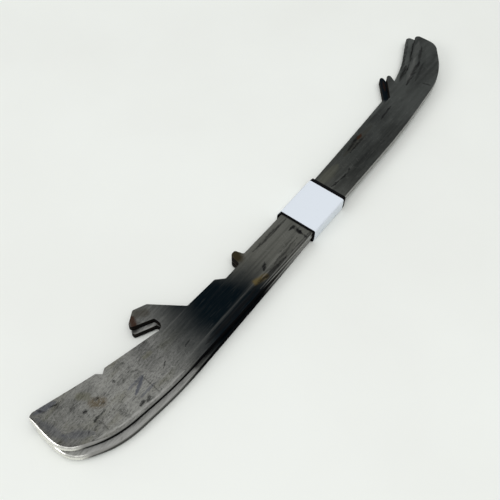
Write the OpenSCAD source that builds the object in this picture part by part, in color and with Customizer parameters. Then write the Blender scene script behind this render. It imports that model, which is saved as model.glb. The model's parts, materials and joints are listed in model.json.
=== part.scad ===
// A pair of steel ice hockey runners, laid flat one on the other and held by a labelled band.
// The heels point along -X, the toes along +X, the mounting edges along +Y, the skating edges along -Y.
// The origin lies under the middle of the band, on the surface that the pair rests on.

/* [Runner plate] */
// Length of a runner, from the end of its heel to the front of its toe
runner_l = 280; // [263:1:306]
// Thickness of the steel
runner_t = 3; // [2.6:0.1:3.4]
// Height of the steel, from its straight top edge to the deepest point of its skating edge
runner_h = 17.2; // [13:0.1:24]
// Place of the shallow bend in the top edge, from the heel
top_bend_x = 169; // [150:1:190]
// Depth of that bend's corner below the ends of the top edge
top_bend_d = 1; // [0.4:0.1:1.5]
// Radius of that bend
top_bend_r = 3600; // [2000:100:5000]
// Rounding of the small outer corners
corner_r = 1; // [0.4:0.1:1.4]
// Rounding of the small inner corners
root_r = 1; // [0.4:0.1:1.4]

/* [Skating edge] */
// Radius of the rocker along the middle of the skating edge
rocker_r = 3960; // [2700:10:4200]
// Place of the rocker's corner, from the heel
rocker_x = 129; // [115:1:140]
// How far the rocker's corner lies below its deepest point
rocker_drop = 0.3; // [0.1:0.05:0.6]
// Place from the heel where the edge starts to rise towards the heel
heel_rise_x = 47; // [40:1:56]
// Height of that place above the deepest point
heel_rise_h = 0.8; // [0.5:0.1:1.2]
// Radius of the edge there
heel_rise_r = 180; // [120:5:260]
// Place from the heel of the heel's sweep
heel_sweep_x = 15.5; // [12:0.5:18]
// Height of the heel's sweep above the deepest point
heel_sweep_h = 5; // [3.5:0.1:6]
// Radius of the heel's sweep
heel_sweep_r = 47; // [30:1:60]
// Place from the toe where the edge starts to rise towards the toe
toe_rise_x = 64; // [55:1:75]
// Height of that place above the deepest point
toe_rise_h = 0.7; // [0.5:0.1:1.2]
// Radius of the edge there
toe_rise_r = 390; // [200:10:450]
// Place from the toe of the toe's curl
toe_curl_x = 19; // [15:0.5:23]
// Height of the toe's curl above the deepest point
toe_curl_h = 4.9; // [3.5:0.1:6]
// Radius of the toe's curl
toe_curl_r = 46; // [30:1:60]
// Radius of the hollow that is ground along the edge
hollow_r = 12.7; // [9:0.1:25]
// Width of the flat land left on each side of the hollow
edge_land = 0.15; // [0.1:0.05:0.3]

/* [Heel] */
// Height of the heel's top corner above the straight top edge
heel_top_h = 19.6; // [16:0.1:23]
// Rounding of the heel's top corner
heel_top_r = 2.8; // [1.5:0.1:3.5]
// How far the heel's end leans towards the toe at its top corner
heel_lean = 1.8; // [1:0.1:4]
// Height above the top edge at which the heel's end starts to lean
heel_waist_h = 8; // [6:0.5:10]
// Radius of the heel's end there
heel_waist_r = 35; // [15:1:45]
// Depth of the heel's bottom corner below the top edge
heel_low_d = 1.7; // [0.5:0.1:3]
// Radius of the heel's bottom corner
heel_low_r = 11.5; // [6:0.5:14]
// How far the dressed end of the heel is crowned
heel_crown = 0.9; // [0.5:0.1:1.3]
// Place from the heel of the bend in the heel's top edge
heel_bend_x = 30; // [24:0.5:34]
// Height of that bend above the straight top edge
heel_bend_h = 11; // [9.5:0.1:12.5]
// Radius of that bend
heel_bend_r = 300; // [150:10:400]
// Place from the heel of the nick in the upper runner
nick_x = 32.4; // [20:0.1:40]
// Width of the nick
nick_w = 3.9; // [2:0.1:5]
// Depth of the nick
nick_d = 1.7; // [0.5:0.1:2]

/* [Rear hook] */
// Closed end of the hook's slot, from the heel
slot_end_x = 63; // [61:0.1:64]
// Height of the slot's lower corner above the straight top edge
slot_floor_h = 3.5; // [2.5:0.1:4]
// Height of the slot at its closed end
slot_h = 5.9; // [5:0.1:7]
// Rounding of the slot's lower corner
slot_floor_r = 2.8; // [1.5:0.1:3.2]
// Length of the prong, from the slot's closed end to its tip
prong_l = 8.7; // [6.5:0.1:10]
// Rise of the prong's underside towards its tip
prong_rise = 4.5; // [3.5:0.1:5.5]
// Height of the prong's blunt tip
prong_tip_h = 1.7; // [1.2:0.1:2.4]
// Crest of the hook, back from the slot's closed end
crest_x = 2.6; // [1.5:0.1:4]
// Height of the crest above the straight top edge
crest_h = 18.9; // [17.5:0.1:20.5]
// Top of the hook's back, ahead of the slot's closed end
back_x = 3.2; // [2:0.1:5]
// Height of the hook's back above the straight top edge
back_h = 16.3; // [14.5:0.1:17.5]
// Foot of the hook's back, ahead of the slot's closed end
back_foot_x = 12.8; // [9:0.1:15]

/* [Shoulder and latch nub] */
// Height of the shoulder above the straight top edge, at the foot of the hook
shoulder_h = 2.5; // [1.8:0.1:3.2]
// Fall of the shoulder along its length
shoulder_fall = 0.8; // [0.2:0.1:1.2]
// Front end of the shoulder, from the heel
shoulder_end_x = 92.6; // [89:0.1:94]
// Start of the shelf between the shoulder and the nub, from the heel
shelf_x = 96; // [95:0.1:98]
// Depth of the shelf below the straight top edge
shelf_d = 1.7; // [1:0.1:2.5]
// Heel side of the nub, from the heel
nub_x = 105.4; // [102:0.1:108]
// Width of the nub at its foot
nub_w = 5.2; // [4.5:0.1:7]
// Height of the nub above the straight top edge
nub_h = 4.1; // [3:0.1:5.5]
// How far each side of the nub leans in
nub_taper = 1.1; // [0.5:0.1:1.4]
// Rounding of the nub's heel side
nub_r = 1.7; // [0.5:0.1:2]

/* [Front spur] */
// Foot of the spur's heel side, from the toe
spur_foot_x = 49; // [46:0.1:53]
// Heel side of the spur's tip, from the toe
spur_tip_x = 37.6; // [36:0.1:39.5]
// Height of the spur above the straight top edge
spur_h = 9; // [7.5:0.1:10.5]
// Width of the spur's tip
spur_tip_w = 2.5; // [2:0.1:3.5]
// Bottom of the gap between the spur and the toe, from the toe
valley_x = 39.3; // [38:0.1:41]
// Height of that gap's bottom above the straight top edge
valley_h = 1.5; // [1:0.1:2.5]

/* [Toe] */
// Place from the toe of the bend in the toe's top edge
toe_bend_x = 25.6; // [22:0.1:28]
// Height of that bend above the straight top edge
toe_bend_h = 3.2; // [2.6:0.1:4]
// Radius of that bend
toe_bend_r = 80; // [40:5:100]
// Height of the toe's top corner above the straight top edge
toe_top_h = 14; // [12:0.1:16]
// Rounding of the toe's top corner
toe_top_r = 2; // [1:0.1:3]
// Height of the toe's lower front corner above the straight top edge
toe_nose_h = 1.6; // [0.5:0.1:3]
// Rounding of the toe's lower front corner
toe_nose_r = 8; // [4:0.5:10]

/* [Stack] */
// Gap between the two runners
stack_gap = 0.2; // [0.1:0.05:0.5]
// Angle by which the lower runner is fanned at rest
fan_angle = 1.6; // [0:0.1:2.5]
// Further angle that the lower runner can be fanned by hand
fan_more = 1.4; // [0.5:0.1:2]
// Shift of the lower runner towards the mounting edges, at the band
lower_shift = 0.9; // [0:0.1:2]

/* [Band and label] */
// Middle of the band, from the heel
band_x = 150.7; // [130:0.1:190]
// Width of the band along the runners
band_w = 25.4; // [15:0.1:30]
// Thickness of the band
band_t = 0.5; // [0.3:0.1:1.5]
// Clearance between the band and the steel
band_gap = 0.15; // [0.1:0.05:0.4]
// Width of the label along the runners
label_w = 22.6; // [12:0.1:24]
// Thickness of the label
label_t = 0.12; // [0.08:0.02:0.3]
// Place of the label's middle, back from the band's middle towards the heel
label_back = 0.7; // [0:0.1:0.9]
// Length of the label's lapped end
lap_l = 11; // [6:0.5:14]

/* [Hidden] */
// Largest distance between a round edge and the short straight pieces that it is drawn with
smooth = runner_t / 300;

function unit(v) = v / norm(v);

// Corners of the runner, each with its place from the heel, its height above the straight top edge and
// its rounding: along the top edge from the heel to the toe, then back along the skating edge.
top_corners = [
    [heel_lean, heel_top_h, heel_top_r],
    [heel_bend_x, heel_bend_h, heel_bend_r],
    [slot_end_x, slot_floor_h, slot_floor_r],
    [slot_end_x, slot_floor_h + slot_h, root_r],
    [slot_end_x - prong_l, slot_floor_h + slot_h + prong_rise, corner_r],
    [slot_end_x - prong_l, slot_floor_h + slot_h + prong_rise + prong_tip_h, corner_r],
    [slot_end_x - crest_x, crest_h, corner_r],
    [slot_end_x + back_x, back_h, corner_r],
    [slot_end_x + back_foot_x, shoulder_h, root_r],
    [shoulder_end_x, shoulder_h - shoulder_fall, corner_r],
    [shelf_x, -shelf_d, root_r],
    [nub_x, -shelf_d, root_r],
    [nub_x + nub_taper, nub_h, nub_r],
    [nub_x + nub_w - nub_taper, nub_h, corner_r],
    [nub_x + nub_w, 0, root_r],
    [top_bend_x, -top_bend_d, top_bend_r],
    [runner_l - spur_foot_x, 0, root_r],
    [runner_l - spur_tip_x, spur_h, corner_r],
    [runner_l - spur_tip_x + spur_tip_w, spur_h, corner_r],
    [runner_l - valley_x, valley_h, root_r],
    [runner_l - toe_bend_x, toe_bend_h, toe_bend_r],
    [runner_l, toe_top_h, toe_top_r],
    [runner_l, toe_nose_h, toe_nose_r]
];
edge_corners = [
    [runner_l - toe_curl_x, toe_curl_h - runner_h, toe_curl_r],
    [runner_l - toe_rise_x, toe_rise_h - runner_h, toe_rise_r],
    [rocker_x, -rocker_drop - runner_h, rocker_r],
    [heel_rise_x, heel_rise_h - runner_h, heel_rise_r],
    [heel_sweep_x, heel_sweep_h - runner_h, heel_sweep_r]
];
heel_corners = [
    [0, -heel_low_d, heel_low_r],
    [0, heel_waist_h, heel_waist_r]
];
outline = concat(top_corners, edge_corners, heel_corners);
// First corner that is ground hollow, first corner that is ground to a crown, and last corner
ground_first = len(top_corners);
crown_first = ground_first + len(edge_corners);
corner_last = len(outline) - 1;

// Heights of the pieces above the surface that they rest on
band_z = 2 * label_t;
lower_z = band_z + band_t + band_gap;
upper_z = lower_z + runner_t + stack_gap;
stack_top = upper_z + runner_t;
// Sideways room that the lower runner needs in the band when it is fanned as far as it goes
sway = band_w / 2 * tan(fan_angle + fan_more);
// Depth of the deepest point of the skating edge below the straight top edge
edge_depth = -min([for (p = rounded(outline)) p.y]);
upper_back = runner_h / 2;
upper_edge = upper_back - edge_depth;
lower_back = upper_back + lower_shift + sway;
lower_edge = upper_edge + lower_shift - sway;
// Distance of the hollow's axis from the skating edge
hollow_axis = sqrt(hollow_r ^ 2 - (runner_t / 2 - edge_land) ^ 2);
// Radius of the crown across the heel's end
crown_r = (runner_t ^ 2 / 4 + heel_crown ^ 2) / (2 * heel_crown);
// Spare steel that is left on the blank for grinding, how far the grinding reaches out from the edge,
// and how far it runs on past the edge's two ends
grind_spare = runner_t * 2 / 3;
ground_reach = runner_h / 2;
grind_past = grind_spare;
// Heights in the plate at which the grinding is worked out, from under the plate to over it
ground_steps = 8;
ground_heights = [
    -edge_land,
    for (j = [0 : ground_steps]) runner_t / 2 - (runner_t / 2 - edge_land) * cos(180 * j / ground_steps),
    runner_t + edge_land
];

// Geometry of an outline's corner i, where c lists the corners as [x, y, rounding]
function item(c, i) = c[(i + len(c)) % len(c)];
function place(c, i) = [item(c, i).x, item(c, i).y];
function ahead(c, i) = unit(place(c, i + 1) - place(c, i));
function behind(c, i) = unit(place(c, i - 1) - place(c, i));
// Angle between the two edges that meet at the corner
function opening(c, i) = acos(ahead(c, i) * behind(c, i));
// Length that the corner's full rounding takes off each of its edges
function reach(c, i) = item(c, i).z / tan(opening(c, i) / 2);
// Share of the rounding that fits on the edge from corner i to the next, beside the next one's rounding
function share(c, i) = min(1, norm(place(c, i + 1) - place(c, i)) / (reach(c, i) + reach(c, i + 1)));
function round_r(c, i) = item(c, i).z * min(share(c, i), share(c, i - 1));
function round_reach(c, i) = round_r(c, i) / tan(opening(c, i) / 2);
function centre(c, i) =
    place(c, i) + unit(ahead(c, i) + behind(c, i)) * round_r(c, i) / sin(opening(c, i) / 2);
// Points where the rounding starts and ends, and the angle that it turns through, left turns positive
function arc_start(c, i) = place(c, i) + behind(c, i) * round_reach(c, i);
function arc_end(c, i) = place(c, i) + ahead(c, i) * round_reach(c, i);
function turn(c, i) = sign(cross(-behind(c, i), ahead(c, i))) * (180 - opening(c, i));
function heading(v) = atan2(v.y, v.x);

// Points round an arc, close enough together to stay within the smoothness
function arc(middle, r, from, by) =
    let (steps = max(1, ceil(abs(by) / (2 * acos(1 - smooth / r)))))
    [for (s = [0 : steps]) middle + r * [cos(from + by * s / steps), sin(from + by * s / steps)]];

function corner_arc(c, i) =
    arc(centre(c, i), round_r(c, i), heading(arc_start(c, i) - centre(c, i)), turn(c, i));

function rounded(c) = [for (i = [0 : len(c) - 1]) each corner_arc(c, i)];

// Outline of a belt pulled tight round pins of one radius, given in clockwise order
function belt(pins, r) = [
    for (i = [0 : len(pins) - 1])
        let (
            before = ahead(pins, i - 1),
            bend = heading(ahead(pins, i)) - heading(before)
        )
        each arc(place(pins, i), r, heading([-before.y, before.x]), bend > 0 ? bend - 360 : bend)
];

// Outline of the blank, finished along the top, with spare steel outside the edges that are ground
function left(v) = [-v.y, v.x];
function spare_corner(i) =
    place(outline, i)
    - unit(ahead(outline, i) + behind(outline, i)) * grind_spare / sin(opening(outline, i) / 2);
function blank() = concat(
    [for (i = [0 : ground_first - 1]) each corner_arc(outline, i)],
    [arc_end(outline, ground_first - 1) + grind_spare * left(ahead(outline, ground_first - 1))],
    [for (i = [ground_first : corner_last]) spare_corner(i)],
    [arc_start(outline, 0) + grind_spare * left(ahead(outline, corner_last))]
);

// Small bite out of the heel's top edge, in the edge's own direction, cut on past the edge
module nick() {
    slope = heading(place(outline, 2) - place(outline, 1));
    edge_y = heel_bend_h + (nick_x - heel_bend_x) * tan(slope);
    translate([nick_x, edge_y]) rotate(slope)
        polygon([[-nick_w, nick_d], [0, -nick_d], [nick_w, nick_d]]);
}

// Depth that is ground off the edge at a height in the plate: the hollow, or the crown where that is
// deeper, held off the edge by a clearance
function hollow_depth(z) = sqrt(hollow_r ^ 2 - (z - runner_t / 2) ^ 2) - hollow_axis;
function crown_depth(z) = crown_r - sqrt(max(0, crown_r ^ 2 - (z - runner_t / 2) ^ 2));
function ground_depth(z, clear) = max(0, hollow_depth(z), crown_depth(z) - clear);

// The crown is ground straight on along the skating edge, which curves away from it
function crown_clear(i, p) =
    i < crown_first ? (arc_start(outline, crown_first) - p) * left(ahead(outline, crown_first - 1)) : 0;

// Section of what is ground off at a point of the edge, with the direction that points out of the steel
function ground_section(p, out, clear) =
    let (far = p + out * ground_reach)
    [
        [far.x, far.y, -edge_land],
        for (z = ground_heights) let (q = p - out * ground_depth(z, clear)) [q.x, q.y, z],
        [far.x, far.y, runner_t + edge_land]
    ];

// Section beyond the end of the ground edge, a hair inside its line, so that the pass leaves no step
function end_section(p, along, by, i) =
    ground_section(p + by * along - 2 * smooth * left(along), left(along), crown_clear(i, p));

function ground_sections() = concat(
    [end_section(arc_end(outline, ground_first - 1), ahead(outline, ground_first - 1), -grind_past, 0)],
    [
        for (i = [ground_first : corner_last])
            let (joined = norm(arc_start(outline, i) - arc_end(outline, i - 1)) < smooth)
            let (points = corner_arc(outline, i))
            for (k = [joined ? 1 : 0 : len(points) - 1])
                ground_section(points[k], unit(points[k] - centre(outline, i)), crown_clear(i, points[k]))
    ],
    [end_section(arc_start(outline, 0), ahead(outline, corner_last), grind_past, corner_last)]
);

// Everything that is ground off, as one solid that follows the edge from the toe to the heel
module grindings() {
    sections = ground_sections();
    n = len(sections[0]);
    last = len(sections) - 1;
    polyhedron(
        [for (section = sections) each section],
        concat(
            [[for (k = [n - 1 : -1 : 0]) k], [for (k = [0 : n - 1]) last * n + k]],
            [
                for (s = [0 : last - 1], k = [0 : n - 1])
                    let (a = s * n + k, b = s * n + (k + 1) % n)
                    each [[a, b, a + n], [b, b + n, a + n]]
            ]
        )
    );
}

// One runner, flat, with its heel at x = 0 and its straight top edge at y = 0
module runner(nicked)
    difference() {
        linear_extrude(runner_t)
            difference() {
                polygon(blank());
                if (nicked) nick();
            }
        grindings();
    }

// Runner with the middle of its height under the middle of the band
module placed_runner(nicked) translate([-band_x, upper_back, 0]) runner(nicked);

module upper_runner() color("dimgray") translate([0, 0, upper_z]) placed_runner(nicked = true);

module lower_runner()
    color("gray") translate([0, lower_shift, lower_z]) rotate(fan_angle) placed_runner(nicked = false);

// Corners of the steel that the band goes round, clockwise, seen from the heel
function wrapped_corners() = [
    [upper_edge, stack_top, 0],
    [upper_back, stack_top, 0],
    lower_back > upper_back ? [lower_back, lower_z + runner_t, 0] : [upper_back, upper_z, 0],
    [lower_back, lower_z, 0],
    [lower_edge, lower_z, 0],
    lower_edge < upper_edge ? [lower_edge, lower_z + runner_t, 0] : [upper_edge, upper_z, 0]
];

// Sleeve round the steel, between two distances from it
module sleeve(inside, outside, width)
    rotate([90, 0, 90]) linear_extrude(width, center = true)
        difference() {
            polygon(belt(wrapped_corners(), outside));
            polygon(belt(wrapped_corners(), inside));
        }

module band() color("black") sleeve(band_gap, band_gap + band_t, band_w);

module label()
    color("white") translate([-label_back, 0, 0]) {
        sleeve(band_gap + band_t, band_gap + band_t + label_t, label_w);
        translate([-label_w / 2, -lap_l / 2, 0]) cube([label_w, lap_l, label_t]);
    }

upper_runner();
lower_runner();
band();
label();
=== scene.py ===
# %% [markdown]
# A banded pair of ice hockey runners. Two worn steel runners lie flat, one on the other and slightly
# fanned, inside a black elastic band with a bare white label round it. The solids come from the CAD
# model, in metres, and everything made here goes where they are. This cell loads them and keeps their
# box.

# %% Load the frame
import json
import math

import bmesh
import bpy
from mathutils import Matrix, Vector


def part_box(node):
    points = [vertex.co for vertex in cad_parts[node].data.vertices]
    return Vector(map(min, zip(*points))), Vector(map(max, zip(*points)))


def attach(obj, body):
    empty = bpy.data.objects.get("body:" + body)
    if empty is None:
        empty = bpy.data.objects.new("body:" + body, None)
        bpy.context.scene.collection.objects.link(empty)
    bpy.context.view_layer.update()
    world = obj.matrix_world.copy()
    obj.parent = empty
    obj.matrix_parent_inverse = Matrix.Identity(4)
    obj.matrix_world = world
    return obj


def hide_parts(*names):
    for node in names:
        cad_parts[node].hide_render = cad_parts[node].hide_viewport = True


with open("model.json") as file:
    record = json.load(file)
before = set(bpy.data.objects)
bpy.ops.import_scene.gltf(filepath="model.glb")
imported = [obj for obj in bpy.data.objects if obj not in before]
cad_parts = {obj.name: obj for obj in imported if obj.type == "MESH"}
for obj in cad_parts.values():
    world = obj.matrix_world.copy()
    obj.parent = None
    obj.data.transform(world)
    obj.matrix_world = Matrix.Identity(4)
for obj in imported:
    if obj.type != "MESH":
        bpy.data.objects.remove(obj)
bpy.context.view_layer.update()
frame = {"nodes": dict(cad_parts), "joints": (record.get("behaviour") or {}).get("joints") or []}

MM = 0.001

# %% [markdown]
# The camera. It looks down on the pair from behind the heels, close enough for a strong perspective. Its
# place could be given as three coordinates, but a target, a distance and three angles say more: where it
# looks, from how far, how steeply, along which heading, and how far it is tipped. The target lies on the
# upper runner's side.

# %% Camera
PHOTO_SIDE = 500
FOCAL_PIXELS = 800
TARGET = Vector((-36.9 * MM, 7.65 * MM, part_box("upper_runner")[1].z))
DISTANCE = 344.6 * MM
NEAR_CLIP = 10 * MM
ELEVATION = math.radians(54.82)
HEADING = math.radians(36.08)
ROLL = math.radians(1.28)


def add_object(name, data):
    """Adds an object with this mesh, lamp or camera to the scene."""
    made = bpy.data.objects.new(name, data)
    bpy.context.scene.collection.objects.link(made)
    return made


ground_ahead = Vector((math.cos(HEADING), math.sin(HEADING), 0))
level_right = Vector((math.sin(HEADING), -math.cos(HEADING), 0))
look = ground_ahead * math.cos(ELEVATION) - Vector((0, 0, 1)) * math.sin(ELEVATION)
level_up = level_right.cross(look)
right = level_right * math.cos(ROLL) + level_up * math.sin(ROLL)
up = level_up * math.cos(ROLL) - level_right * math.sin(ROLL)

camera = add_object("camera", bpy.data.cameras.new("camera"))
camera.data.lens = camera.data.sensor_width * FOCAL_PIXELS / PHOTO_SIDE
camera.data.clip_start = NEAR_CLIP
turned_to_look = Matrix((right, up, -look)).transposed().to_4x4()
camera.matrix_world = Matrix.Translation(TARGET - look * DISTANCE) @ turned_to_look
bpy.context.scene.camera = camera
bpy.context.scene.view_settings.view_transform = "Standard"
print("lens", round(camera.data.lens, 1), "mm, camera at", [round(v, 3) for v in camera.location])

# %% [markdown]
# Shader maths. Nodes could be wired one by one, but a formula is easier to read. This class holds one
# output of a node. Its operators add Math nodes, so 1 - mask is a wire too, and its node method adds any
# other node.

# %% Wires
# A Mix node has sockets for each kind of data. These are its factor, its two colours and its colour result.
MIX_FACTOR, MIX_LOW, MIX_HIGH = 0, 6, 7
MIX_RESULT = 2
# The value that noise strays from, up and down
NOISE_MIDDLE = 0.5


class Wire:
    """One output of a shader node."""

    def __init__(self, socket):
        self.socket = socket
        self.tree = socket.id_data

    @staticmethod
    def fill(node, sockets):
        """Links wires to a node's sockets, and sets plain values on them."""
        for key, value in sockets.items():
            if isinstance(value, Wire):
                node.id_data.links.new(value.socket, node.inputs[key])
            else:
                node.inputs[key].default_value = value

    @staticmethod
    def set_stops(ramp, stops):
        """Gives a colour ramp these stops, each a place and a colour."""
        while len(ramp.elements) < len(stops):
            ramp.elements.new(1)
        for element, (place, colour) in zip(ramp.elements, stops):
            element.position = place
            element.color = (*colour, 1)

    @classmethod
    def node(cls, tree, kind, settings, sockets, output=0):
        """Adds a node of a kind: first its settings, then the values or wires of its sockets."""
        made = tree.nodes.new(kind)
        for key, value in settings.items():
            if key == "stops":
                cls.set_stops(made.color_ramp, value)
            else:
                setattr(made, key, value)
        cls.fill(made, sockets)
        return cls(made.outputs[output])

    def maths(self, operation, first, second):
        return Wire.node(self.tree, "ShaderNodeMath", {"operation": operation}, {0: first, 1: second})

    def __add__(self, other):
        return self.maths("ADD", self, other)

    __radd__ = __add__

    def __mul__(self, other):
        return self.maths("MULTIPLY", self, other)

    def __sub__(self, other):
        return self.maths("SUBTRACT", self, other)

    def __rsub__(self, other):
        return self.maths("SUBTRACT", other, self)

    def __or__(self, other):
        return self.maths("MAXIMUM", self, other)

    def vector(self, operation, other, output="Vector"):
        settings = {"operation": operation}
        return Wire.node(self.tree, "ShaderNodeVectorMath", settings, {0: self, 1: other}, output)

    def scaled(self, direction):
        """A fixed vector times this value."""
        settings = {"operation": "SCALE"}
        return Wire.node(self.tree, "ShaderNodeVectorMath", settings, {0: direction, "Scale": self})

    def part(self, axis):
        return Wire.node(self.tree, "ShaderNodeSeparateXYZ", {}, {"Vector": self}, axis)

    def step(self, low, high, start=0.0):
        """A smooth step from start, where this value is low, to 1, where it is high."""
        settings = {"interpolation_type": "SMOOTHSTEP"}
        limits = {"From Min": low, "From Max": high, "To Min": start}
        return Wire.node(self.tree, "ShaderNodeMapRange", settings, {"Value": self, **limits})

    def noise(self, cells, detail, roughness=0.5, shift=(0, 0, 0), output=0):
        """Noise at this place, with so many cells to the metre along each axis."""
        mapping = {"Vector": self, "Location": shift, "Scale": cells}
        moved = Wire.node(self.tree, "ShaderNodeMapping", {}, mapping)
        texture = {"Vector": moved, "Scale": 1.0, "Detail": detail, "Roughness": roughness}
        return Wire.node(self.tree, "ShaderNodeTexNoise", {}, texture, output)

    def mix(self, low, high):
        """Colour low where this value is 0, high where it is 1."""
        sockets = {MIX_FACTOR: self, MIX_LOW: low, MIX_HIGH: high}
        return Wire.node(self.tree, "ShaderNodeMix", {"data_type": "RGBA"}, sockets, MIX_RESULT)

    def bump(self, depth, strength):
        sockets = {"Height": self, "Distance": depth, "Strength": strength}
        return Wire.node(self.tree, "ShaderNodeBump", {}, sockets)


print("a wire can", [name for name in vars(Wire) if not name.startswith("_")])

# %% [markdown]
# Materials. Every finish starts the same way: one Principled shader, and the place on the piece in
# metres, from Object coordinates. Generated coordinates would do too, but they stretch with the piece's
# box, and these keep a real scale. The first finish is the table top's, a pale laminate with faint
# smudges.

# %% Material helpers
def start_material(name):
    """A new material, and a wire with the place on the piece in metres."""
    material = bpy.data.materials.new(name)
    material.use_nodes = True
    return material, Wire.node(material.node_tree, "ShaderNodeTexCoord", {}, {}, "Object")


def dress(material, sockets):
    """Fills the sockets of a material's shader with values, colours or wires."""
    tree = material.node_tree
    Wire.fill(tree.nodes["Principled BSDF"], sockets)
    print(material.name, "has", len(tree.nodes), "nodes")
    return material


def rgb(red, green, blue):
    return (red, green, blue, 1.0)


LAMINATE = rgb(0.88, 0.90, 0.865)
SMUDGED_LAMINATE = rgb(0.85, 0.865, 0.83)
# A noise has its cells to the metre along each axis, its detail and, where that isn't a half, its roughness
SMUDGE_NOISE = ((9, 9, 9), 5.0)
# Levels are where a noise starts to show and where it shows fully
SMUDGE_LEVELS = (0.35, 0.7)


def pale_laminate():
    material, place = start_material("pale_laminate")
    smudge = place.noise(*SMUDGE_NOISE).step(*SMUDGE_LEVELS)
    return dress(material, {"Base Color": smudge.mix(LAMINATE, SMUDGED_LAMINATE), "Roughness": 0.6})


laminate = pale_laminate()

# %% [markdown]
# The table top. The pair lies on a plain pale table, which isn't part of the object. A photographer's
# curved sweep would hide the horizon, but the camera looks down and sees none, so one large flat square
# is enough.

# %% Table top
FLOOR_REACH = 6.0

slab = bmesh.new()
bmesh.ops.create_grid(slab, x_segments=1, y_segments=1, size=FLOOR_REACH)
floor = add_object("table_top", bpy.data.meshes.new("table_top"))
slab.to_mesh(floor.data)
slab.free()
floor.data.materials.append(laminate)
print("table top", 2 * FLOOR_REACH, "m wide")

# %% [markdown]
# The room. Steel shows what is round it, so the light matters as much as the finish. One even sky would
# make the flat sides look like grey card. This one is dim from the horizon up and brighter overhead, so
# the sides fall from a light heel, near the camera, to a dark toe, and the steel's tones paint more of
# that fall in. A window on the left puts the white glint on the heels' ends, and a ceiling panel on the
# camera's side of the pair keeps its shadow narrow.

# %% Room light
# Height of the direction, from 0 at the horizon to 1 overhead, and the colour of the room there
ROOM = [
    (0.22, (0.50, 0.51, 0.50)), (0.42, (0.47, 0.48, 0.48)), (0.64, (0.44, 0.45, 0.45)),
    (0.80, (0.70, 0.71, 0.71)), (0.92, (1.15, 1.15, 1.14)),
]
LAMP_DISTANCE = 2.5
# The way to each lamp, the length of its side and how much of full white it gives a level white surface
LAMPS = {
    "window": ((-0.75, 0.38, 0.54), 0.9, 0.09),
    "ceiling_panel": ((-0.20, -0.30, 0.93), 1.2, 0.20),
}


def soft_room():
    world = bpy.data.worlds.new("soft_room")
    world.use_nodes = True
    tree = world.node_tree
    toward = Wire.node(tree, "ShaderNodeTexCoord", {}, {}, "Generated")
    colour = Wire.node(tree, "ShaderNodeValToRGB", {"stops": ROOM}, {"Fac": toward.part("Z")})
    Wire.fill(tree.nodes["Background"], {"Color": colour})
    return world


def soft_box(name, way, side, white):
    """A square lamp with the power that gives a level white surface this much of full white."""
    way = Vector(way).normalized()
    lamp = add_object(name, bpy.data.lights.new(name, "AREA"))
    lamp.data.size = side
    lamp.data.energy = white * (math.pi * LAMP_DISTANCE) ** 2 / way.z
    turned_back = way.to_track_quat("Z", "Y").to_matrix().to_4x4()
    lamp.matrix_world = Matrix.Translation(way * LAMP_DISTANCE) @ turned_back


bpy.context.scene.world = soft_room()
for name, lamp in LAMPS.items():
    soft_box(name, *lamp)
print("room with", len(LAMPS), "lamps")

# %% [markdown]
# Where the runners lie. The two are the same plate, and only the lower one is turned, about the middle of
# the band. Its angle could be measured on the mesh, but the frame's joint says it: the lower limit is
# where the pair lies in line. With that, wear can be placed in each runner's own frame, with X along its
# length.

# %% Fan of the pair
joints = {joint["name"]: joint for joint in frame["joints"]}
fan = joints["lower_runner_fan"]
fan_at_rest = math.radians(-fan["range_deg"][0])
TURNED = {
    "upper_runner": Matrix.Identity(4),
    "lower_runner": Matrix.Translation((0, fan["pos_m"][1], 0)) @ Matrix.Rotation(fan_at_rest, 4, "Z"),
}
print("lower runner fanned by", round(math.degrees(fan_at_rest), 2), "degrees")

# %% [markdown]
# Copies of the solids. A CAD mesh is loose triangles, which neither a bevel nor smooth shading can use.
# So each piece here starts as a copy with its doubled points merged. Smooth shading then needs to know
# where to stop: every edge that turns sharply is marked as a crease.

# %% Merged copies
WELD = 0.002 * MM
CREASE = math.radians(35)


def merged_copy(node):
    """The CAD node's mesh as a bmesh with its triangles joined up."""
    copy = bmesh.new()
    copy.from_mesh(frame["nodes"][node].data)
    bmesh.ops.remove_doubles(copy, verts=copy.verts, dist=WELD)
    return copy


def shade_smooth(shape):
    """Smooth shading, with a crease at each edge that turns sharply."""
    for face in shape.faces:
        face.smooth = True
    for edge in shape.edges:
        edge.smooth = edge.calc_face_angle(0) < CREASE


print("CAD triangles", {name: len(node.data.polygons) for name, node in frame["nodes"].items()})

# %% [markdown]
# Three finishes on one plate. A runner is stamped from a steel sheet, so its outline is cut, and only the
# skating edge, the tip of the toe and the heel's end are ground. The faces could be picked by hand in the
# editor. A rule is better, because it still holds when the outline changes: it asks where a face is and
# which way it faces. The rounded top corner of the heel, the highest part of the runner, is cut too,
# though it faces the way the ground end does.

# %% Finish of a face
heel_corner, toe_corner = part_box("upper_runner")
HEEL_X, TOE_X, HEEL_TOP = heel_corner.x, toe_corner.x, toe_corner.y
HEEL_ROUNDING = 2.4 * MM
HEEL_END = 3 * MM
TOE_END = 4 * MM
SKATING_EDGE_TOP = 9 * MM
# How much of a face's normal has to point that way
FACING_AN_END = 0.4
FACING_DOWN = 0.2
LEANING = 0.05
FLAT = 0.9999
SIDE, CUT, GROUND = range(3)


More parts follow.
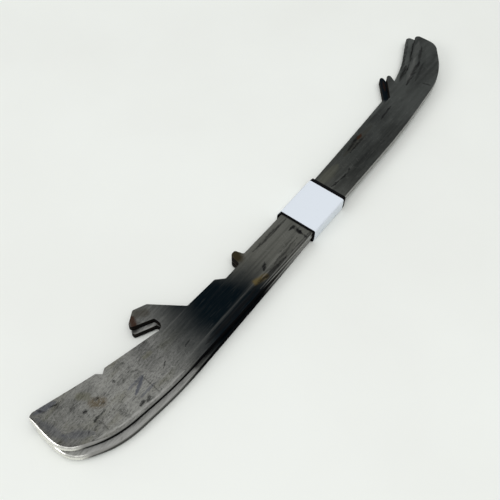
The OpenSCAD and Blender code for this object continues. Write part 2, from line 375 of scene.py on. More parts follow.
def finish_of(face, own):
    """Which finish a runner's face has, going by where it is and faces in the runner's own frame."""
    if abs(face.normal.z) > FLAT:
        return SIDE
    middle = own @ face.calc_center_median()
    facing = own.to_3x3() @ face.normal
    if middle.x < HEEL_X + 2 * HEEL_ROUNDING and middle.y > HEEL_TOP - HEEL_ROUNDING:
        return CUT
    at_heel = facing.x < -FACING_AN_END and middle.x < HEEL_X + HEEL_END
    at_toe = facing.x > FACING_AN_END and middle.x > TOE_X - TOE_END
    below = facing.y < -FACING_DOWN and middle.y < SKATING_EDGE_TOP
    hollow_or_crowned = abs(facing.z) > LEANING
    return GROUND if at_heel or at_toe or below or hollow_or_crowned else CUT


print("upper runner from", round(HEEL_X / MM, 1), "to", round(TOE_X / MM, 1), "mm")

# %% [markdown]
# The runners. Each is one plate of hardened steel. The CAD mesh has its exact outline and its ground
# edges, but its corners are perfectly sharp, and a cut plate's corners are always a little broken. A
# Bevel modifier would round them all, the skating edge too. So each flat side becomes one face, the faces
# are sorted by finish, and only the corners between a side and a cut edge get a tiny bevel that catches
# the light.

# %% Runner plates
CORNER_BREAK = 0.12 * MM


def runner_plate(node):
    """A runner's copy with one face a side, sorted faces and broken corners."""
    shape = merged_copy(node)
    own = TURNED[node].inverted()
    for upward in (True, False):
        side = [f for f in shape.faces if abs(f.normal.z) > FLAT and (f.normal.z > 0) == upward]
        bmesh.ops.dissolve_faces(shape, faces=side)
    for face in shape.faces:
        face.material_index = finish_of(face, own)
    corners = [e for e in shape.edges if {f.material_index for f in e.link_faces} == {SIDE, CUT}]
    bmesh.ops.bevel(
        shape, geom=corners, offset=CORNER_BREAK, offset_type="OFFSET", segments=2, profile=0.5,
        affect="EDGES", clamp_overlap=True, material=-1)
    shade_smooth(shape)
    for face in shape.faces:
        if abs(face.normal.z) > FLAT:
            face.smooth = False
    print(node, "has", len(corners), "broken corners")
    return shape


plates = {node: runner_plate(node) for node in TURNED}

# %% [markdown]
# The steel of the flat sides. It is satin, and its colour is lighter at the heel and dark towards the
# toe: that fall is painted reflection, on top of the fall that the room gives. A gradient between two
# colours is too even for that, so a ramp holds a tone for each stretch of the runner, and cloudy noise
# makes the changes wander. The tints below it are what else lies on the steel: dirt, stains, rust and
# rubbed spots, and the colours of the painted light, shade and reflection among the marks.

# %% Tones and tints
# Place along the runner in millimetres, and the colour of the steel there, with the painted fall in it
TONES = [
    (-150, (0.14, 0.14, 0.13)), (-124, (0.27, 0.27, 0.252)), (-104, (0.235, 0.235, 0.222)),
    (-84, (0.15, 0.152, 0.143)), (-44, (0.12, 0.12, 0.106)), (-20, (0.14, 0.141, 0.126)),
    (20, (0.078, 0.081, 0.075)), (36, (0.056, 0.060, 0.056)), (52, (0.070, 0.074, 0.070)),
    (80, (0.090, 0.096, 0.091)), (130, (0.088, 0.094, 0.089)),
]
TONE_WANDER = 16 * MM
BLACK = rgb(0.004, 0.004, 0.0045)
BLUE_BLACK = rgb(0.0025, 0.0058, 0.0085)
BLUE = rgb(0.066, 0.071, 0.092)
RUST = rgb(0.032, 0.012, 0.005)
BROWN = rgb(0.105, 0.080, 0.046)
AMBER = rgb(0.024, 0.018, 0.007)
OLIVE = rgb(0.125, 0.122, 0.078)
OCHRE = rgb(0.11, 0.080, 0.026)
PALE = rgb(0.45, 0.45, 0.43)
DULL_PAINTED_LIGHT = rgb(0.36, 0.36, 0.345)


def steel_tones_with_painted_fall(along, cloud, painted_lift):
    """The tones along a runner with their painted fall, made lighter by a factor of painted light."""
    first, last = TONES[0][0], TONES[-1][0]
    stops = [((at - first) / (last - first), [part * painted_lift for part in tone]) for at, tone in TONES]
    wandering = along + (cloud - NOISE_MIDDLE) * TONE_WANDER
    limits = {"From Min": first * MM, "From Max": last * MM}
    share = Wire.node(along.tree, "ShaderNodeMapRange", {}, {"Value": wandering, **limits})
    return Wire.node(along.tree, "ShaderNodeValToRGB", {"stops": stops}, {"Fac": share})


print(len(TONES), "tones along", TONES[-1][0] - TONES[0][0], "mm")

# %% [markdown]
# Soil and shine. Years of use leave streaks along the brushing, specks, hairs and blotches of dirt, some
# of them only at the heel or only past the band, with shiny steel between them. A picture could hold all
# that, but noise stays sharp at any distance. Each noise is stretched by its cell sizes, and a row of a
# recipe says between which levels it shows and how strongly in each zone, so that one number can be
# changed at a time.

# %% Soil and shine
# Cells to the metre along and across the runner, detail, roughness, and how many seeds it is moved each way
NOISES = {
    "cloud": (40, 120, 4.0, 0.6, 1, 2),
    "streak": (10, 620, 3.0, 0.55, 1, 2),
    "grain": (60, 4200, 2.0, 0.5, 1, 2),
    "speck": (800, 1700, 4.0, 0.7, 1, 2),
    "blotch": (130, 260, 4.0, 0.6, 1, 2),
    "hair": (150, 2300, 2.0, 0.5, 0, 1),
    "pit": (1100, 1400, 2.0, 0.5, 1, 2),
    "gap": (220, 1500, 3.0, 0.6, 1, 0),
}
# A noise, the levels where it starts to show and shows fully, and its strength everywhere, at the heel and
# past the band
WARMTH = [("cloud", 0.5, 0.72, 0, 0.6, 0)]
SOIL = [
    ("streak", 0.46, 0.72, 0.3, -0.1, -0.15), ("speck", 0.46, 0.64, 0.08, 0.3, 0),
    ("hair", 0.6, 0.7, 0, 0.25, 0), ("blotch", 0.46, 0.7, 0, 0.4, 0),
    ("cloud", 0.4, 0.65, 0, 0, 0.35), ("grain", 0.42, 0.7, 0.12, 0, 0),
]
SHINE = [("streak", 0.44, 0.28, 0.14, 0, -0.1), ("speck", 0.42, 0.26, 0, 0.2, 0)]
# Where each zone starts along the runner, and where it is full
AT_HEEL = (-78 * MM, -104 * MM)
PAST_BAND = (0, 30 * MM)


def side_noises(flat, seed):
    """The noises of a side, moved by a seed so that no two runners have the same."""
    made = {}
    for name, (along, across, detail, roughness, seeds_along, seeds_across) in NOISES.items():
        shift = (seeds_along * seed, seeds_across * seed, 0)
        made[name] = flat.noise((along, across, 1), detail, roughness, shift)
    return made


def by_zone(zones, everywhere, *in_zones):
    """A strength everywhere, with more or less of it in each zone."""
    return sum((zone * extra for zone, extra in zip(zones, in_zones) if extra), everywhere)


def layer(noises, zones, recipe):
    """The mask of a recipe: its noises between their levels, each with its strength, added up."""
    return sum(
        noises[name].step(low, high) * by_zone(zones, *strengths)
        for name, low, high, *strengths in recipe)


print(len(NOISES), "noises,", len(SOIL), "kinds of soil")

# %% [markdown]
# Fine scratches. They cross the steel in a few headings, two close to its length and two steep ones. They
# could be drawn one by one, but there are hundreds. Instead each heading is one noise of long thin cells,
# turned by a Mapping node, of which only the highest crests show.

# %% Fine scratches
SCRATCH_HEADINGS = (6, -11, 58, -66)
SCRATCH_NOISE = ((190, 2600, 1), 1.0, 0.4)
SCRATCH_LEVELS = (0.68, 0.75)


def fine_scratches(flat, seed):
    """A mask of scratches along all the headings, given in degrees from the runner's length."""
    crests = []
    for heading in SCRATCH_HEADINGS:
        turn = {"Vector": flat, "Rotation": (0, 0, math.radians(heading))}
        turned = Wire.node(flat.tree, "ShaderNodeMapping", {}, turn)
        noise = turned.noise(*SCRATCH_NOISE, shift=(heading, seed, 0))
        crests.append(noise.step(*SCRATCH_LEVELS))
    return sum(crests)


print(len(SCRATCH_HEADINGS), "headings of scratches")

# %% [markdown]
# The painted dark reflection. Behind the hook the sides are painted blue-black from the top edge to the
# skating edge, with soft slanting borders: painted reflection of something dark above the pair, not a
# stain on the steel. A painted mask would do, but two smooth steps along the runner are simpler: each is
# slanted by a share of the distance across, and wanders with the cloud. Streaks, hairs and grain of bare
# steel show through it.

# %% Painted dark reflection behind the hook
# Where each border starts along the runner and where the painted reflection is full, and its slant
# across the runner
DARK_REFLECTION_HEEL_BORDER = (-106 * MM, -73 * MM)
DARK_REFLECTION_TOE_BORDER = (-35 * MM, -57 * MM)
DARK_REFLECTION_HEEL_SLANT = 0.3
DARK_REFLECTION_TOE_SLANT = 0.6
DARK_REFLECTION_WANDER = 14 * MM
# The bare steel in it, in rows like those of the soil
SHOWING_THROUGH = [
    ("streak", 0.44, 0.28, 0.22, 0, 0), ("hair", 0.6, 0.7, 0.1, 0, 0), ("grain", 0.5, 0.75, 0.1, 0, 0),
]


def painted_dark_reflection(along, across, cloud):
    """A mask that is 1 between the two borders."""
    wander = (cloud - NOISE_MIDDLE) * DARK_REFLECTION_WANDER
    heel_side = along - across * DARK_REFLECTION_HEEL_SLANT + wander
    toe_side = along + across * DARK_REFLECTION_TOE_SLANT + wander
    return heel_side.step(*DARK_REFLECTION_HEEL_BORDER) * toe_side.step(*DARK_REFLECTION_TOE_BORDER)


print("stain from", round(DARK_REFLECTION_HEEL_BORDER[0] / MM), "to", round(DARK_REFLECTION_TOE_BORDER[0] / MM), "mm")

# %% [markdown]
# Single marks on the upper runner's heel. It is the most used end, with bluish tints by its edges,
# crossing scuffs, short dark scratches, brown stains, rust on the hook's tip and a lower edge that is
# lighter, rubbed bright and in part a painted highlight. Cutting them into the mesh would make far too
# much of them, for most have no depth. Each is a line, given one by one.

# %% Heel marks
# Tint, strength, the two ends along and across the runner in millimetres, and half the width in millimetres
HEEL_MARKS = [
    # Bluish tints along the heel's end and top edge, and a few crossing scuffs
    (BLUE, 0.6, (-146.4, 26.3), (-138.0, 23.6), 1.5), (BLUE, 0.3, (-147.2, 24.0), (-146.4, 9.0), 1.6),
    (BLUE, 0.4, (-146.0, 11.5), (-138.0, 3.0), 1.8), (BLUE, 0.75, (-117.6, 1.2), (-109.4, 4.6), 0.8),
    (BLUE, 0.5, (-117.6, 5.2), (-109.6, 4.9), 0.6), (BLUE, 0.5, (-117.0, -0.9), (-109.0, -1.0), 0.6),
    (BLACK, 0.45, (-110.0, 4.9), (-110.8, -5.4), 0.35), (BLACK, 0.35, (-106.8, 3.8), (-104.8, 1.6), 0.35),
    # Short dark scratches, spots and smudges, and a patch of painted dark reflection
    (BLACK, 0.9, (-141.0, 23.4), (-136.6, 22.0), 0.45), (BLACK, 0.8, (-132.0, 6.7), (-135.4, 6.2), 0.6),
    (BLACK, 0.95, (-134.3, 11.8), (-134.1, 11.7), 0.9), (BLACK, 0.5, (-133.4, 5.6), (-133.8, -0.6), 0.35),
    (BLACK, 0.8, (-118.4, 11.9), (-118.2, 11.8), 0.6), (BLACK, 0.6, (-144.4, 25.7), (-143.7, 24.1), 0.6),
    (BLACK, 0.85, (-119.2, -3.1), (-117.6, -2.8), 0.7), (BLACK, 0.75, (-116.2, -4.0), (-114.8, -3.4), 0.7),
    (BLACK, 0.8, (-99.4, 1.9), (-102.4, 0.3), 0.35), (BLACK, 0.7, (-86.4, 0.4), (-89.8, -0.4), 0.4),
    (BLACK, 0.6, (-128.4, 6.3), (-133.4, 6.8), 0.35), (BLACK, 0.5, (-140.0, 4.6), (-137.6, 6.2), 0.4),
    # The wide patch at the end of this row carries the painted dark reflection towards the heel
    (BLACK, 0.4, (-126.0, 1.6), (-125.2, -3.6), 0.9), (BLACK, 0.4, (-101.0, 14.4), (-103.4, 7.4), 4.2),
    (BLACK, 0.25, (-126.6, 17.0), (-130.0, 15.6), 2.6),
    # Brown stains, and rust on the hook's tip
    (OLIVE, 0.45, (-131.0, 18.0), (-129.4, 15.6), 1.7), (OLIVE, 0.4, (-103.4, 9.4), (-100.6, 9.0), 1.0),
    (BROWN, 0.75, (-129.6, 11.8), (-127.6, 9.8), 2.2), (BLACK, 0.75, (-128.2, 12.3), (-127.4, 12.0), 0.6),
    (BLACK, 0.6, (-127.8, 9.2), (-127.2, 8.8), 0.5), (RUST, 0.9, (-93.4, 25.2), (-95.2, 22.4), 1.5),
    (AMBER, 0.5, (-90.4, 24.6), (-88.0, 22.8), 2.0),
    # The lower edge, lighter: rubbed bright, and in part a painted highlight
    (PALE, 0.35, (-140.0, 1.2), (-128.0, -3.2), 0.5), (PALE, 0.45, (-131.0, -2.4), (-112.0, -5.8), 0.6),
    (PALE, 0.35, (-116.0, -5.2), (-98.0, -6.8), 0.6),
]
print(len(HEEL_MARKS), "marks on the heel")

# %% [markdown]
# Single marks along the middle and the toe. The middle has a brown nub, a stained dent past it, long dark
# streaks and smudges beside the band. Past the band there are a line like a crack, rust along the top edge
# and streaks that follow the curl of the toe. A second paint layer could hold them, but lines are easier
# to move. Later ones lie over earlier ones.

# %% Middle and toe marks
MIDDLE_MARKS = [
    # A brown nub, and a stained dent past it
    (AMBER, 0.95, (-41.9, 11.8), (-43.4, 9.4), 2.6), (OCHRE, 0.8, (-48.6, -4.2), (-43.4, -5.6), 1.35),
    (PALE, 0.35, (-45.6, -4.9), (-40.0, -5.2), 0.3), (BLACK, 0.95, (-38.2, -1.2), (-42.0, -3.6), 0.9),
    (BLACK, 0.7, (-39.0, -1.8), (-41.6, -3.2), 0.7),
    # Dark streaks along the runner, and smudges beside the band
    (BLACK, 0.8, (-13.4, 5.3), (-37.0, 6.1), 0.75), (BLACK, 0.9, (-29.6, -6.6), (-44.1, -6.4), 0.6),
    (BLACK, 0.7, (-42.1, -5.9), (-56.0, -5.8), 0.6), (BLACK, 0.8, (-84.0, -6.0), (-52.0, -6.6), 1.3),
    (BLACK, 0.7, (-9.0, -7.6), (-55.0, -7.8), 1.1), (PALE, 0.25, (-14.0, -7.6), (-50.0, -7.7), 0.25),
    (BLACK, 0.6, (-19.0, -4.6), (-38.0, -4.9), 0.6), (BLACK, 0.5, (-18.0, -3.0), (-31.0, -3.3), 0.5),
    (BLACK, 0.45, (-22.0, -5.8), (-52.0, -5.2), 1.2), (BLACK, 0.95, (-17.9, 0.5), (-14.6, 0.2), 0.7),
    (BLACK, 0.95, (-15.2, 0.0), (-15.8, -3.4), 1.0), (BLACK, 0.95, (-15.4, -1.4), (-16.2, -5.4), 0.9),
    (BLACK, 0.8, (-16.0, -6.2), (-16.2, -7.3), 0.6),
]
TOE_MARKS = [
    # Faint stains, a line like a crack, and rust along the top edge
    (OLIVE, 0.25, (11.0, 4.8), (27.0, 4.6), 2.6), (AMBER, 0.3, (33.0, 5.4), (58.0, 5.6), 1.6),
    (BLACK, 0.95, (13.8, -0.6), (19.8, -1.2), 0.5), (BLACK, 0.95, (19.2, -1.1), (25.9, -2.0), 0.5),
    (BLACK, 0.9, (25.5, -2.1), (28.6, -0.8), 0.45), (BLACK, 0.95, (48.5, 6.9), (37.0, 5.6), 0.8),
    (RUST, 0.95, (50.0, 6.5), (46.2, 5.9), 0.9), (BLACK, 0.9, (51.0, 4.5), (36.5, 4.2), 0.5),
    (BLACK, 0.9, (75.0, 5.0), (64.0, 4.2), 0.6), (BLACK, 0.75, (99.1, 0.9), (100.2, -3.4), 0.6),
    # Light and dark streaks along the curl
    (PALE, 0.1, (126.0, 18.6), (109.0, 11.9), 1.3), (PALE, 0.12, (113.0, 13.2), (96.0, 8.2), 1.2),
    (PALE, 0.3, (103.3, 9.0), (96.6, 7.8), 0.6), (BLACK, 0.75, (123.5, 15.3), (109.0, 9.4), 0.9),
    (BLACK, 0.9, (112.5, 10.3), (93.0, 6.7), 1.1), (BLACK, 0.6, (112.5, 8.1), (98.0, 4.5), 0.8),
    (BLACK, 0.95, (134.0, 25.0), (112.0, 15.5), 0.6), (BLACK, 0.95, (118.0, 17.8), (100.0, 11.2), 0.6),
    (BLACK, 0.9, (104.0, 12.4), (92.5, 10.9), 0.7),
]
print(len(MIDDLE_MARKS), "marks along the middle and", len(TOE_MARKS), "on the toe")

# %% [markdown]
# Single marks on the lower runner. The upper one covers most of it. What shows is a strip beside the
# skating edge and the inside of the hook, both painted lighter and dull, painted light that makes up
# for the shade of the upper runner, then a black spur, and the toe's streaks, among them a painted
# shadow of the gap beside the upper runner's edge. The covered part gets a few scratches and stains as
# well, because the runners move and then it shows.

# %% Lower runner's marks
LOWER_MARKS = [
    # The strip beside the skating edge and the inside of the hook, painted lighter and dull as painted
    # light against the upper runner's shade
    (DULL_PAINTED_LIGHT, 0.95, (-149.0, 9.0), (-140.0, 0.4), 3.6), (DULL_PAINTED_LIGHT, 0.95, (-140.0, 0.4), (-128.0, -4.2), 3.6),
    (DULL_PAINTED_LIGHT, 0.95, (-128.0, -4.2), (-119.0, -5.9), 3.4), (DULL_PAINTED_LIGHT, 0.95, (-119.0, -5.9), (-109.0, -7.1), 3.3),
    (DULL_PAINTED_LIGHT, 0.9, (-109.0, -7.1), (-97.0, -7.9), 3.1), (DULL_PAINTED_LIGHT, 0.12, (-103.0, -7.7), (-86.0, -8.0), 2.4),
    (DULL_PAINTED_LIGHT, 0.8, (-95.0, 19.6), (-86.0, 20.4), 2.4),
    # Scratches and stains on the heel
    (BLACK, 0.7, (-131.0, 9.0), (-126.4, 8.0), 0.4), (BLACK, 0.6, (-121.2, 4.2), (-121.0, 4.0), 0.6),
    (BROWN, 0.6, (-113.0, 2.2), (-109.5, 1.4), 1.7), (BLUE, 0.5, (-140.0, 16.6), (-130.0, 13.6), 1.3),
    (BLACK, 0.6, (-105.0, -1.0), (-99.0, -1.7), 0.4), (BLACK, 0.5, (-137.0, 6.0), (-133.0, 8.2), 0.4),
    # A black spur with a little rust, and dark streaks along the curl of the toe, partly painted shadow of
    # the gap beside the upper runner's edge
    (BLUE_BLACK, 1.0, (93.5, 17.4), (87.0, 11.6), 2.6), (BLUE_BLACK, 1.0, (87.6, 12.2), (81.4, 8.2), 2.3),
    (RUST, 0.45, (91.6, 15.4), (86.0, 11.0), 0.7), (BLACK, 0.85, (128.7, 17.3), (121.6, 14.8), 0.8),
    (BLACK, 0.85, (121.6, 14.8), (112.1, 10.7), 0.8), (BLACK, 0.85, (112.1, 10.7), (105.8, 9.0), 0.8),
    (BLACK, 0.7, (126.6, 20.2), (110.0, 13.7), 0.7), (BLACK, 0.7, (113.0, 14.8), (101.0, 10.6), 0.7),
    (BLACK, 0.95, (109.0, 11.5), (96.5, 8.6), 1.0), (BLACK, 0.6, (42.0, 7.0), (30.0, 6.4), 0.5),
]
print(len(LOWER_MARKS), "marks on the lower runner")

# %% [markdown]
# From a line to a mark. A real scratch is widest at its middle and has ragged sides. A brush stroke in a
# picture would look so too, but a formula does it with no picture: the distance to the line gives a mask,
# a long line's width tapers to its tips, and noise moves the place before the distance is taken, which
# frays the sides.

# %% Marks as masks
# A mark is solid to one share of its half width, and has faded out at another
SOLID_TO = 0.4
FADED_AT = 1.5
# A line of more half widths than this tapers, and this share of its width is left at its tips
TAPER_FROM = 4
TIP_WIDTH = 0.25
FRAY_REACH = 1.6 * MM
FRAY_NOISE = ((900, 900, 1), 3.0, 0.6)


def mark(place, start, end, half_width):
    """A mask that is 1 near a line between two points, given in millimetres."""
    start = Vector((*start, 0)) * MM
    line = Vector((*end, 0)) * MM - start
    from_start = place.vector("SUBTRACT", start)
    along_line = from_start.vector("DOT_PRODUCT", line / line.length_squared, "Value")
    share = Wire.node(place.tree, "ShaderNodeClamp", {}, {"Value": along_line})
    away = from_start.vector("DISTANCE", share.scaled(line), "Value")
    reach = half_width * MM
    if line.length > TAPER_FROM * reach:
        # share * (1 - share) is a quarter at the middle of the line
        reach = (share * (1 - share) * (4 * (1 - TIP_WIDTH)) + TIP_WIDTH) * reach
    return away.step(reach * FADED_AT, reach * SOLID_TO)


def frayed(flat, seed):
    """The place, moved a little this way and that by noise."""
    fray = flat.noise(*FRAY_NOISE, shift=(seed, 2 * seed, 0), output="Color")
    centred = fray.vector("SUBTRACT", (NOISE_MIDDLE, NOISE_MIDDLE, NOISE_MIDDLE))
    return flat.vector("ADD", centred.vector("MULTIPLY", (FRAY_REACH, FRAY_REACH, 0)))


UPPER_MARKS = HEEL_MARKS + MIDDLE_MARKS + TOE_MARKS
longest = max(math.dist(start, end) for _, _, start, end, _ in UPPER_MARKS + LOWER_MARKS)
print("longest mark", round(longest, 1), "mm")

# %% [markdown]
# Laying the marks. Dirt, rubbed spots and the dull strips of painted light are never whole, so noise
# leaves gaps in them, and brown stains are patchy. Each mark could be a shader of its own, mixed over the
# others. It is quicker to keep one colour and one mask: steel that is covered by dirt, stain, rust or
# painted light and shade is no longer a mirror, so the mask gathers what is worn and what is painted.
# Only the rubbed spots and the bluish tints stay shiny.

# %% Laying the marks
BROKEN_TINTS = (BLACK, PALE, DULL_PAINTED_LIGHT)
PATCHY_TINTS = (BROWN,)
SHINY_TINTS = (PALE, BLUE)
GAP_LEVELS = (0.36, 0.56)
LEFT_IN_GAPS = 0.45
PATCH_LEVELS = (0.3, 0.55)


def marked(colour, worn_and_painted, marks, flat, noises, seed):
    """Lays the marks over a colour, and adds them to what is worn and painted."""
    ragged = frayed(flat, seed)
    broken = noises["gap"].step(*GAP_LEVELS, start=LEFT_IN_GAPS)
    patchy = noises["speck"].step(*PATCH_LEVELS)
    for tint, strength, start, end, half_width in marks:
        mask = mark(flat if tint == PALE else ragged, start, end, half_width) * strength
        if tint in BROKEN_TINTS:
            mask = mask * broken
        elif tint in PATCHY_TINTS:
            mask = mask * patchy
        colour = mask.mix(colour, tint)
        if tint not in SHINY_TINTS:
            worn_and_painted = worn_and_painted | mask
    return colour, worn_and_painted


print(sum(tint in BROKEN_TINTS for tint, *_ in UPPER_MARKS + LOWER_MARKS), "marks have gaps")

# %% [markdown]
# The flat sides, put together. From the painted tones up, each layer lies over the last: warmth, soil,
# shine, scratches, the painted dark reflection, pits and the single marks, among which are painted light
# and shade. They could be painted on a texture, but then every change would mean painting again. Worn
# steel, and steel under painted light and shade, is less metallic and rougher, and the grain, the
# streaks and the scratches also go into the bump, so that they catch the light.

# %% Worn sides, with painted light and shade
PIT_LEVELS = (0.68, 0.75)
PIT_WEAR = 0.4
# Strengths everywhere, at the heel and past the band
PIT_STRENGTHS = (0.2, 0.4, 0)
SCRATCH_STRENGTHS = (0.08, 0.22, 0)
SCRATCH_DEPTH = 0.6
# A bump has its depth and its strength
SIDE_BUMP = (0.01 * MM, 0.5)


def own_place(place, node):
    """The place in a runner's own frame, with X along the runner."""
    back = TURNED[node].inverted()
    turn = {"Vector": place, "Location": back.to_translation(), "Rotation": back.to_euler()}
    return Wire.node(place.tree, "ShaderNodeMapping", {}, turn)


def worn_and_painted_side(node, marks, painted_lift, seed):
    material, place = start_material(node + "_side")
    flat = own_place(place, node).vector("MULTIPLY", (1, 1, 0))
    along, across = flat.part("X"), flat.part("Y")
    zones = along.step(*AT_HEEL), along.step(*PAST_BAND)
    noises = side_noises(flat, seed)
    cloud, streak, grain = noises["cloud"], noises["streak"], noises["grain"]
    scratches = fine_scratches(flat, seed)
    pits = noises["pit"].step(*PIT_LEVELS)

    colour = steel_tones_with_painted_fall(along, cloud, painted_lift)
    for recipe, tint in ((WARMTH, OLIVE), (SOIL, BLACK), (SHINE, PALE)):
        colour = layer(noises, zones, recipe).mix(colour, tint)
    colour = (scratches * by_zone(zones, *SCRATCH_STRENGTHS)).mix(colour, PALE)
    reflection_gaps = layer(noises, zones, SHOWING_THROUGH)
    # The painted dark reflection behind the hook, with bare steel showing through
    colour = (painted_dark_reflection(along, across, cloud) * (1 - reflection_gaps)).mix(colour, BLUE_BLACK)
    colour = (pits * by_zone(zones, *PIT_STRENGTHS)).mix(colour, BLACK)
    colour, worn_and_painted = marked(colour, pits * PIT_WEAR, marks, flat, noises, seed)

    return dress(material, {
        "Base Color": colour,
        "Metallic": 1 - worn_and_painted * 0.9,
        "Roughness": 0.32 + grain * 0.1 + worn_and_painted * 0.3,
        "Specular IOR Level": 0.05,
        "Normal": (grain + streak - scratches * SCRATCH_DEPTH).bump(*SIDE_BUMP),
    })


# Each runner's marks, the factor on its tones, and its seed. On the lower runner the factor is painted
# light, which makes up for the shade that the upper runner casts on it.
WEAR_AND_PAINTED_LIGHT = {
    "upper_runner": (UPPER_MARKS, 1.0, 3.0),
    "lower_runner": (LOWER_MARKS, 1.4, 11.0),
}
sides = {node: worn_and_painted_side(node, *wear_and_light) for node, wear_and_light in WEAR_AND_PAINTED_LIGHT.items()}

# %% [markdown]
# The cut edges. Where the outline was stamped, the steel is never cleaned, so it is brown-black with
# patches of rust and a gritty surface. It could share the sides' finish, darkened, but it has none of
# their brushing. It barely reflects: with the usual specular level, a black wall would turn grey from the
# pale table.

# %% Cut edges
CUT_GRIME = rgb(0.007, 0.0065, 0.006)
CUT_RUST = rgb(0.026, 0.011, 0.005)
CUT_RUST_NOISE = ((180, 180, 700), 4.0, 0.65)
CUT_RUST_LEVELS = (0.5, 0.7)
GRIT_NOISE = ((2500, 2500, 2500), 3.0)
GRIT_BUMP = (0.03 * MM, 0.5)


def cut_edge(node):
    material, place = start_material(node + "_cut_edge")
    rusty = place.noise(*CUT_RUST_NOISE).step(*CUT_RUST_LEVELS)
    grit = place.noise(*GRIT_NOISE)
    return dress(material, {
        "Base Color": rusty.mix(CUT_GRIME, CUT_RUST),
        "Roughness": 0.6 + grit * 0.2,
        "Specular IOR Level": 0.03,
        "Normal": grit.bump(*GRIT_BUMP),
    })


cut_edges = {node: cut_edge(node) for node in TURNED}

# %% [markdown]
# The ground edges. On a sharp runner they would be bright all along. These are long unused: only the
# heel's end is still bright, the rear edge is dark, with a painted highlight along its upper rim, the
# part behind the hook is stained black, and towards the front the steel is cleaner. The lower runner's
# rear edge is grimy grey, and the upper runner's is painted near black, painted shade of the gap over
# the lower one. Four materials with hard limits could do it, but steps along the edge blend softly. Fine
# lines run the way the wheel went, so they only change across the edge.

# %% Ground edges
# Where each state of the edge starts along the runner, and where it is full
DRESSED = (-143.5 * MM, -148.5 * MM)
CLEANER = (-45 * MM, -5 * MM)
EDGE_STAIN_HEEL = (-106 * MM, -90 * MM)
EDGE_STAIN_TOE = (-40 * MM, -50 * MM)
# How deep below the upper side the painted highlight of the rim starts and is full, as shares of
# the thickness
RIM_HIGHLIGHT_DEPTHS = (0.5, 0.2)
BRIGHT_EDGE = rgb(0.80, 0.79, 0.74)
CLEANER_EDGE = rgb(0.24, 0.236, 0.225)
PAINTED_RIM_HIGHLIGHT = rgb(0.26, 0.258, 0.245)
EDGE_SOIL = rgb(0.07, 0.07, 0.062)
# Rear edge: grime on the lower runner, painted shade of the gap on the upper runner
EDGE_GRIME_AND_SHADE = {"upper_runner": rgb(0.010, 0.010, 0.0095), "lower_runner": rgb(0.07, 0.07, 0.066)}
EDGE_SOIL_NOISE = ((600, 600, 900), 4.0, 0.7)
EDGE_SOIL_LEVELS = (0.48, 0.66)
EDGE_SOIL_STRENGTH = 0.5
LINE_NOISE = ((25, 25, 9000), 3.0, 0.6)
LINE_BUMP = (0.006 * MM, 0.6)


def ground_edge(node):
    material, place = start_material(node + "_ground_edge")
    along = own_place(place, node).part("X")
    dressed = along.step(*DRESSED)
    cleaner = along.step(*CLEANER)
    stained = along.step(*EDGE_STAIN_HEEL) * along.step(*EDGE_STAIN_TOE)
    low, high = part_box(node)
    rim_highlight = place.part("Z").step(*(high.z - depth * (high.z - low.z) for depth in RIM_HIGHLIGHT_DEPTHS))
    lines = place.noise(*LINE_NOISE)
    soiled = place.noise(*EDGE_SOIL_NOISE).step(*EDGE_SOIL_LEVELS)
    # The rear edge, with a painted highlight along its upper rim
    colour = rim_highlight.mix(EDGE_GRIME_AND_SHADE[node], PAINTED_RIM_HIGHLIGHT)
    colour = stained.mix(colour, BLACK)
    colour = cleaner.mix(colour, CLEANER_EDGE)
    colour = dressed.mix(colour, BRIGHT_EDGE)
    return dress(material, {
        "Base Color": (soiled * cleaner * EDGE_SOIL_STRENGTH).mix(colour, EDGE_SOIL),
        "Metallic": dressed | cleaner,
        "Specular IOR Level": 0.0,
        "Roughness": 0.15 + lines * 0.14 + soiled * 0.2,
        "Normal": lines.bump(*LINE_BUMP),
    })


ground_edges = {node: ground_edge(node) for node in TURNED}

# %% [markdown]
# The finished runners. A piece here stands for its CAD node: it hides the node, moves with its body and
# gets its own materials. The node could be dressed as it is, but then its corners would stay sharp. A
# copied mesh still carries the normals of the CAD mesh, which no longer fit, so they are taken off.

# %% Finished runners
def add_piece(name, shape, materials, body, node):
    """Makes a shape a piece that stands for a CAD node and moves with its body."""
    mesh = bpy.data.meshes.new(name)
    shape.to_mesh(mesh)
    shape.free()
    mesh.attributes.remove(mesh.attributes["custom_normal"])
    for material in materials:
        mesh.materials.append(material)
    piece = add_object(name, mesh)
    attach(piece, body)
    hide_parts(node)
    print(name, len(mesh.polygons), "faces")


for node, plate in plates.items():
    finishes = [sides[node], cut_edges[node], ground_edges[node]]
    add_piece(node + "_plate", plate, finishes, node, node)

# %% [markdown]
# The band. A woven elastic, one inch wide, with ribs that run round the loop. It could be one smooth loop
# with bump, but its two margins show beside the label, so the ribs are cut into the mesh: the copy of the
# CAD loop is sliced across at each rib, and the slices at the valleys and the ends are drawn in.

# %% Ribs of the band
RIBS = 17
RIB_DEPTH = 0.14 * MM
BAND_END_DEPTH = 0.18 * MM
# Where each rib is sliced, and how far a valley reaches into it, as shares of the pitch
RIB_CUTS = (0.2, 0.5, 0.8, 1.0)
VALLEY = 0.1
ONE_FACET = math.radians(1)
ANY_SHAPE = math.radians(180)


def strip_copy(node):
    """A CAD strip's copy, with the triangles of each facet joined."""
    shape = merged_copy(node)
    bmesh.ops.join_triangles(
        shape, faces=shape.faces, angle_face_threshold=ONE_FACET, angle_shape_threshold=ANY_SHAPE)
    return shape


def rib_inset(at, low, high, pitch):
    """How far the band's outside is drawn in at a place across its width."""
    share = ((at - low) / pitch) % 1
    if min(at - low, high - at) < WELD:
        return BAND_END_DEPTH
    if min(share, 1 - share) < VALLEY:
        return RIB_DEPTH
    return RIB_DEPTH * abs(share - 0.5)


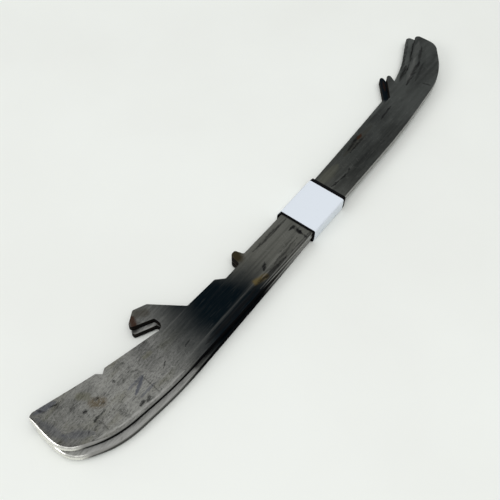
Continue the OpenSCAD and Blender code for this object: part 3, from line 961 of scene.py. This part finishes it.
def ribbed_band():
    shape = strip_copy("band")
    low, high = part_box("band")
    middle = (low + high) / 2
    pitch = (high.x - low.x) / RIBS
    cuts = [low.x + pitch * (rib + share) for rib in range(RIBS) for share in RIB_CUTS]
    for cut in cuts[:-1]:
        bmesh.ops.bisect_plane(
            shape, geom=shape.verts[:] + shape.edges[:] + shape.faces[:], dist=WELD,
            plane_co=(cut, 0, 0), plane_no=(1, 0, 0))
    shape.normal_update()
    across = Vector((0, 1, 1))
    outside = [v for v in shape.verts if v.normal.dot((v.co - middle) * across) > 0]
    insets = [(v.normal * across).normalized() * rib_inset(v.co.x, low.x, high.x, pitch) for v in outside]
    for vert, inset in zip(outside, insets):
        vert.co -= inset
    shape.normal_update()
    shade_smooth(shape)
    print("band with", RIBS, "ribs,", round(pitch / MM, 2), "mm apart")
    return shape


band = ribbed_band()

# %% [markdown]
# The band's finish. Black elastic hardly reflects, and its knit is too fine to model, so that is left to
# bump. A cloth shader with sheen would suit a larger cloth. Here rough black with a little grey lint is
# enough.

# %% Woven elastic
ELASTIC_BLACK = rgb(0.004, 0.004, 0.0045)
LINT = rgb(0.02, 0.02, 0.021)
LINT_NOISE = ((600, 600, 600), 4.0)
LINT_LEVELS = (0.62, 0.8)
LINT_STRENGTH = 0.4
KNIT_NOISE = ((1500, 5000, 5000), 3.0)
KNIT_BUMP = (0.05 * MM, 0.6)


def woven_elastic():
    material, place = start_material("black_elastic")
    knit = place.noise(*KNIT_NOISE)
    lint = place.noise(*LINT_NOISE).step(*LINT_LEVELS)
    return dress(material, {
        "Base Color": (lint * LINT_STRENGTH).mix(ELASTIC_BLACK, LINT),
        "Roughness": 0.75 + knit * 0.2,
        "Specular IOR Level": 0.05,
        "Normal": knit.bump(*KNIT_BUMP),
    })


add_piece("elastic_band", band, [woven_elastic()], "band", "band")

# %% [markdown]
# The label. A bare strip of white laminated film, wrapped once round the band, with its end lapped over
# itself under the runners. It could be a flat strip bent by a modifier, but the CAD loop has its bends
# and its lap already. So a merged copy is only shaded smooth, and the rest is finish: a faintly blue
# white under a clear film that ripples a little and has picked up a few scuffs.

# %% Label
FILM_WHITE = rgb(0.74, 0.79, 0.86)
SCUFFED_WHITE = rgb(0.66, 0.705, 0.765)
SCUFF_NOISE = ((900, 160, 400), 4.0, 0.6)
SCUFF_LEVELS = (0.58, 0.8)
SCUFF_STRENGTH = 0.3
RIPPLE_NOISE = ((70, 110, 90), 2.0)
RIPPLE_BUMP = (0.25 * MM, 0.25)


def label_shape():
    shape = strip_copy("label")
    shade_smooth(shape)
    return shape


def laminated_film():
    material, place = start_material("white_film")
    scuff = place.noise(*SCUFF_NOISE).step(*SCUFF_LEVELS)
    ripple = place.noise(*RIPPLE_NOISE)
    return dress(material, {
        "Base Color": (scuff * SCUFF_STRENGTH).mix(FILM_WHITE, SCUFFED_WHITE),
        "Roughness": 0.34 + scuff * 0.18,
        "Normal": ripple.bump(*RIPPLE_BUMP),
    })


add_piece("label_strip", label_shape(), [laminated_film()], "band", "label")

# %% [markdown]
